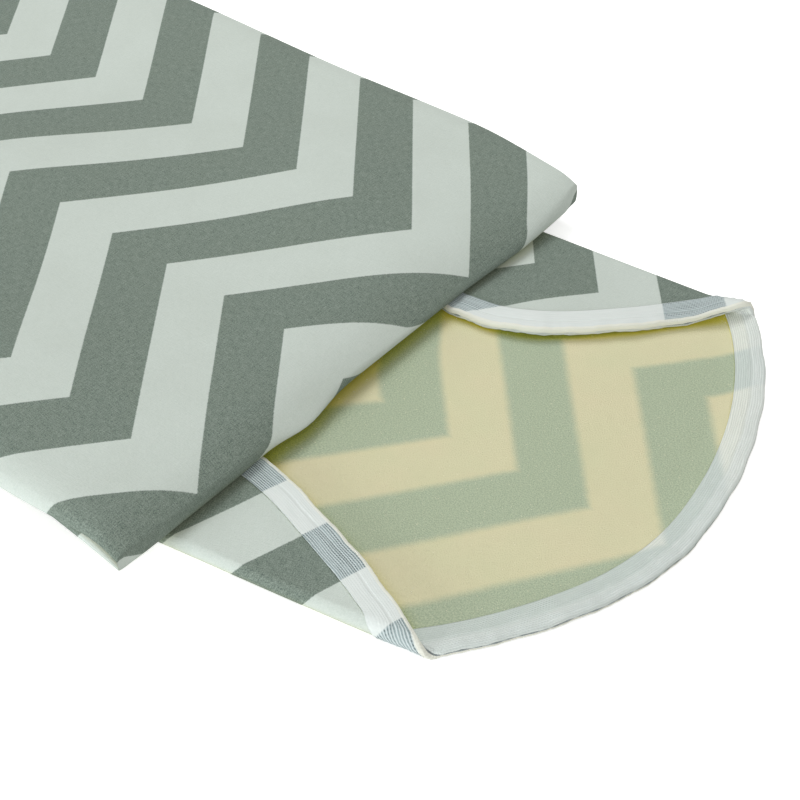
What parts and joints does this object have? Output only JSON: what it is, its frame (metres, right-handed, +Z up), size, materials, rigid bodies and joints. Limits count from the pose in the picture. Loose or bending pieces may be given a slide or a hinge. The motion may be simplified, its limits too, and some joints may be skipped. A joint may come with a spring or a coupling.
{
  "type": "ironing board cover",
  "caption": "Folded ironing board cover of chevron printed cotton on a thin foam pad, bound in elastic tape, with its rounded nose end laid out.",
  "frame": {"origin": "centre of the box on the plane that the folded cover lies on", "axes": "+X along the cover towards its rounded nose, +Y across it, +Z up from the base to the printed top"},
  "size_m": [0.5536, 0.32, 0.0251],
  "materials": {
    "printed_cotton": "plain weave cotton, matt, white with a grey chevron print",
    "foam_pad": "thin cream polyurethane foam, matt, with the print showing through",
    "elastic_tape": "white ribbed fold-over elastic, soft sheen"
  },
  "bodies": {
    "base": {"back_fold_cotton": "printed_cotton", "back_fold_flap_left_elastic": "elastic_tape", "back_fold_flap_right_elastic": "elastic_tape", "back_fold_foam": "foam_pad", "base_cotton": "printed_cotton", "base_flap_left_cotton": "printed_cotton", "base_flap_left_elastic": "elastic_tape", "base_flap_left_foam": "foam_pad", "base_flap_right_cotton": "printed_cotton", "base_flap_right_elastic": "elastic_tape", "base_flap_right_foam": "foam_pad", "base_foam": "foam_pad", "nose_fold_left_cotton": "printed_cotton", "nose_fold_left_foam": "foam_pad", "nose_fold_right_cotton": "printed_cotton", "nose_fold_right_foam": "foam_pad", "nose_cotton": "printed_cotton", "nose_foam": "foam_pad", "nose_elastic": "elastic_tape"},
    "top": {"front_fold_cotton": "printed_cotton", "front_fold_flap_left_elastic": "elastic_tape", "front_fold_flap_right_elastic": "elastic_tape", "front_fold_foam": "foam_pad", "top_cotton": "printed_cotton", "top_flap_left_cotton": "printed_cotton", "top_flap_left_elastic": "elastic_tape", "top_flap_left_foam": "foam_pad", "top_flap_right_cotton": "printed_cotton", "top_flap_right_elastic": "elastic_tape", "top_flap_right_foam": "foam_pad", "top_foam": "foam_pad"},
    "tail": {"tail_cotton": "printed_cotton", "tail_elastic_end": "elastic_tape", "tail_flap_left_cotton": "printed_cotton", "tail_flap_left_elastic": "elastic_tape", "tail_flap_left_foam": "foam_pad", "tail_flap_right_cotton": "printed_cotton", "tail_flap_right_elastic": "elastic_tape", "tail_flap_right_foam": "foam_pad", "tail_foam": "foam_pad"},
    "flap_left": {"nose_flap_left_cotton": "printed_cotton", "nose_flap_left_elastic": "elastic_tape", "nose_flap_left_foam": "foam_pad"},
    "flap_right": {"nose_flap_right_cotton": "printed_cotton", "nose_flap_right_elastic": "elastic_tape", "nose_flap_right_foam": "foam_pad"}
  },
  "joints": [
    {"name": "bundle_unfold", "type": "hinge", "parent": "base", "child": "top", "pos_m": [-0.26425, 0, 0.01255], "axis": [0, -1, 0], "range_deg": [0, 178], "deforming": ["back_fold_cotton", "back_fold_flap_left_elastic", "back_fold_flap_right_elastic", "back_fold_foam"]},
    {"name": "tail_unfold", "type": "hinge", "parent": "top", "child": "tail", "pos_m": [0.12375, 0, 0.01705], "axis": [0, -1, 0], "range_deg": [0, 178], "deforming": ["front_fold_cotton", "front_fold_flap_left_elastic", "front_fold_flap_right_elastic", "front_fold_foam"]},
    {"name": "flap_left_lift", "type": "hinge", "parent": "base", "child": "flap_left", "pos_m": [0.1318, -0.12645, 0.00355], "axis": [0.9833, 0.1822, 0], "range_deg": [0, 70], "deforming": ["nose_fold_left_cotton", "nose_fold_left_foam"]},
    {"name": "flap_right_lift", "type": "hinge", "parent": "base", "child": "flap_right", "pos_m": [0.1318, 0.12195, 0.00355], "axis": [-0.9833, -0.1822, 0], "range_deg": [0, 70], "deforming": ["nose_fold_right_cotton", "nose_fold_right_foam"]}
  ],
  "couplings": [
    {"joint": "tail_unfold", "follows": "bundle_unfold", "ratio": 1}
  ]
}
